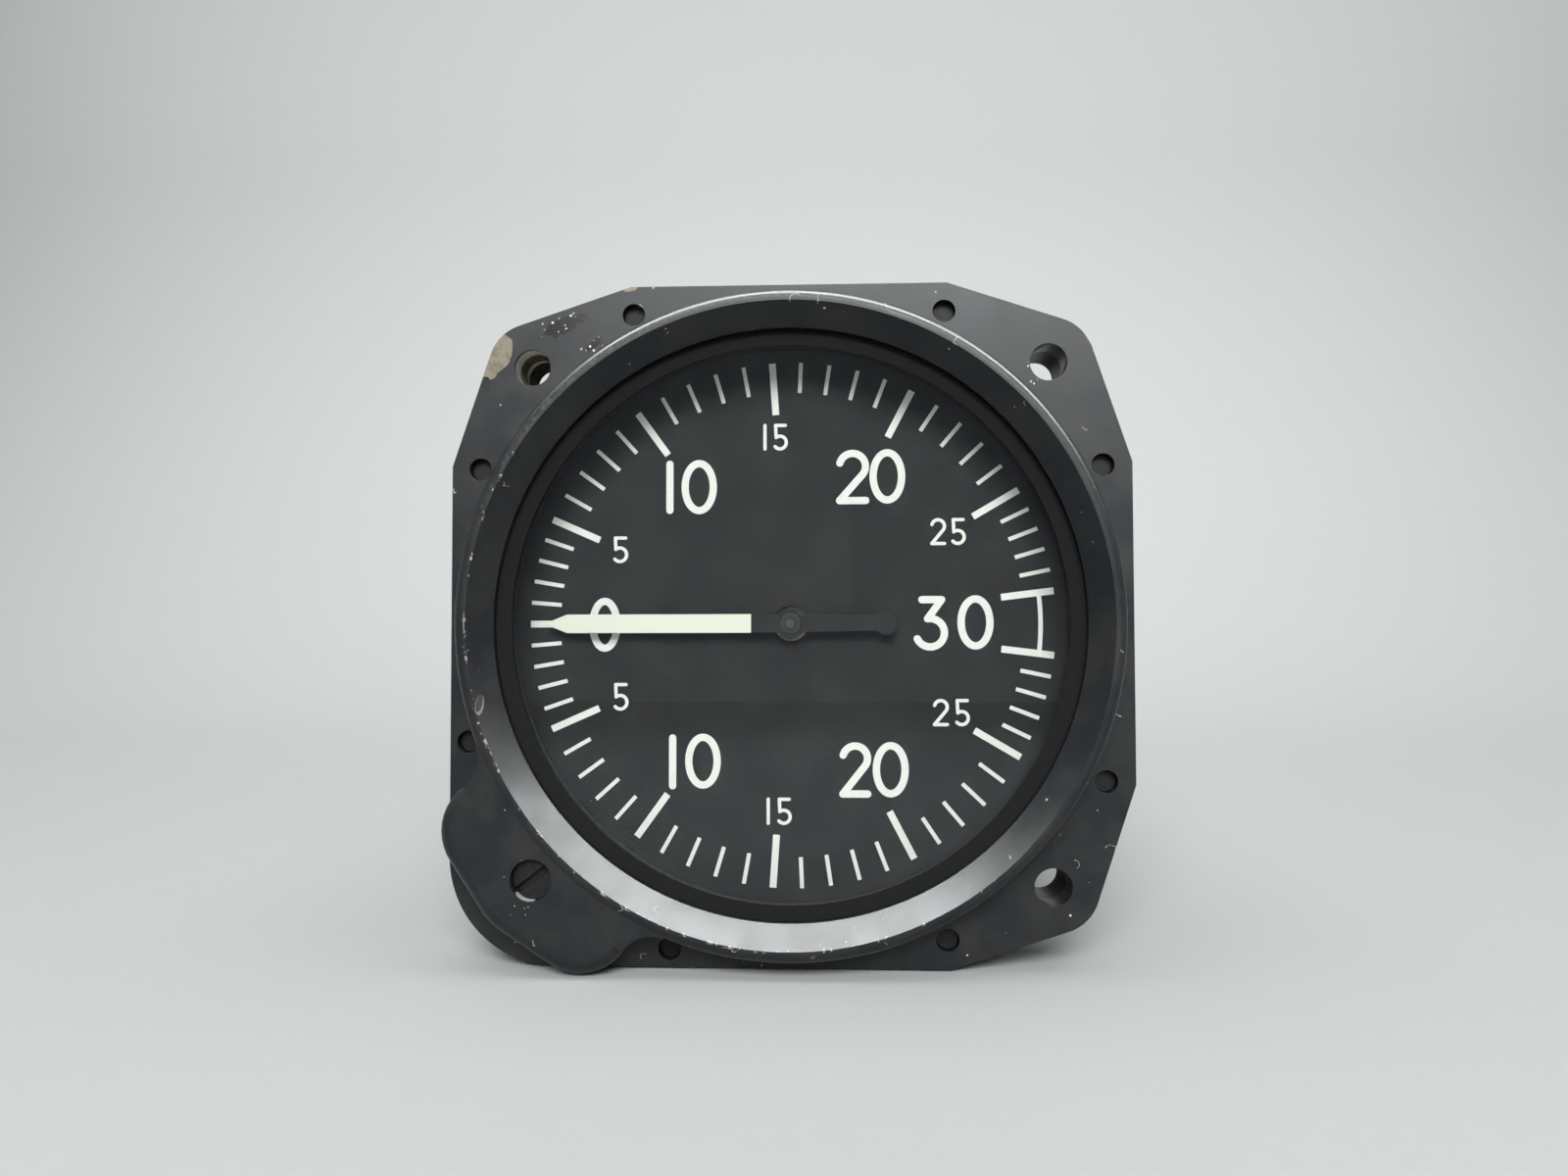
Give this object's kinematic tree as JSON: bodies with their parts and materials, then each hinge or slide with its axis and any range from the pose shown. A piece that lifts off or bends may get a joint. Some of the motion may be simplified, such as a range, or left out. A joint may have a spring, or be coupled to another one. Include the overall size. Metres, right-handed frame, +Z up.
{
  "type": "vertical speed indicator",
  "caption": "Round-dial panel instrument with a square four-corner flange, a lower-left adjuster lobe, a closed barrel and a rear pressure port.",
  "frame": {"origin": "on the dial axis, in the plane of the flange's front face, which seats against the back of the panel", "axes": "+X to the right as the dial is read, +Y to the rear along the barrel, +Z up; the dial faces -Y"},
  "size_m": [0.0826, 0.1165, 0.0826],
  "materials": {
    "black_paint": "satin black paint over cast aluminium, worn to bare metal on the corners",
    "dial_black": "matt black enamel with cream markings",
    "spacer_black": "matt black anodised",
    "window_glass": "clear polished glass",
    "seal_rubber": "dull black rubber",
    "gasket_fibre": "dark cork and rubber sheet",
    "pointer_cream": "matt cream paint in front, black at the hub and tail",
    "brass": "machined brass",
    "bronze_capsule": "corrugated beryllium copper",
    "copper_tube": "drawn copper tube",
    "steel": "plain machined steel",
    "dark_steel": "blackened steel",
    "insert_steel": "plated steel with a cut thread",
    "movement_plate": "nickel silver sheet",
    "bracket_alloy": "bent aluminium sheet",
    "jewel": "polished synthetic ruby",
    "blued_spring": "blued spring strip",
    "bimetal": "bonded brass and nickel steel strip"
  },
  "bodies": {
    "case": {"bezel_frame": "black_paint", "mounting_insert": "insert_steel", "bezel_screws": "dark_steel", "bezel_gasket": "gasket_fibre", "case_barrel": "black_paint", "lens": "window_glass", "lens_seal": "seal_rubber", "dial_spacer": "spacer_black", "dial": "dial_black", "rear_cover": "black_paint", "rear_gasket": "gasket_fibre", "rear_screws": "steel", "static_fitting": "brass", "fitting_seal": "seal_rubber", "zero_pivot": "steel", "front_plate": "movement_plate", "plate_screws": "steel", "rear_plate": "movement_plate", "pillars": "brass", "pillar_screws": "steel", "staff_jewels": "jewel", "shaft_jewels": "jewel", "hairspring": "blued_spring", "hairspring_stud": "brass", "capsule_bracket": "bracket_alloy", "bracket_screws": "steel", "capsule": "bronze_capsule", "capsule_nut": "steel", "dashpot_cylinders": "brass", "dashpot_caps": "steel", "dashpot_nuts": "steel", "dashpot_spring_left": "steel", "dashpot_spring_right": "steel", "dashpot_tubes": "copper_tube", "restrictor_block": "brass", "restrictor_jet": "steel", "bimetal_strip": "bimetal", "bimetal_screw": "steel", "static_tube": "copper_tube"},
    "pointer_unit": {"pointer": "pointer_cream", "pointer_hub": "dark_steel", "pinion_staff": "steel", "spring_collet": "brass"},
    "sector_unit": {"sector_gear": "brass", "rocking_shaft": "steel", "balance_arm": "brass"},
    "push_rod": {"capsule_stud": "steel"},
    "zero_spindle": {"zero_screw": "dark_steel", "zero_o_ring": "seal_rubber"},
    "zero_cam": {"zero_sector": "brass"},
    "piston_left": {"dashpot_piston_left": "steel"},
    "piston_right": {"dashpot_piston_right": "steel"}
  },
  "joints": [
    {"name": "rocking_shaft_turn", "type": "hinge", "parent": "case", "child": "sector_unit", "pos_m": [-0.003, 0, -0.02542], "axis": [0, 1, 0], "range_deg": [-25, 25], "stiffness_Nm_per_rad": 0.02},
    {"name": "pointer_turn", "type": "hinge", "parent": "case", "child": "pointer_unit", "pos_m": [0, 0, 0], "axis": [0, 1, 0], "range_deg": [-175, 175]},
    {"name": "push_rod_slide", "type": "slide", "parent": "case", "child": "push_rod", "axis": [0, 0, 1], "range_m": [-0.0013, 0.0013], "deforming": ["capsule"]},
    {"name": "zero_cam_turn", "type": "hinge", "parent": "case", "child": "zero_cam", "pos_m": [-0.01737, 0, -0.01737], "axis": [0, 1, 0], "range_deg": [-18, 18]},
    {"name": "zero_screw_turn", "type": "hinge", "parent": "case", "child": "zero_spindle", "pos_m": [-0.0301, 0, -0.0301], "axis": [0, 1, 0], "range_deg": [-90, 90]},
    {"name": "piston_left_slide", "type": "slide", "parent": "case", "child": "piston_left", "axis": [0, 0, 1], "range_m": [-0.003, 0.003], "stiffness_N_per_m": 60, "springref_m": 0.0005, "deforming": ["dashpot_spring_left"]},
    {"name": "piston_right_slide", "type": "slide", "parent": "case", "child": "piston_right", "axis": [0, 0, 1], "range_m": [-0.003, 0.003], "stiffness_N_per_m": 60, "springref_m": 0.0005, "deforming": ["dashpot_spring_right"]}
  ],
  "couplings": [
    {"joint": "pointer_turn", "follows": "rocking_shaft_turn", "ratio": -7},
    {"joint": "push_rod_slide", "follows": "rocking_shaft_turn", "m_per_rad": -0.00295},
    {"joint": "zero_screw_turn", "follows": "zero_cam_turn", "ratio": -5}
  ]
}
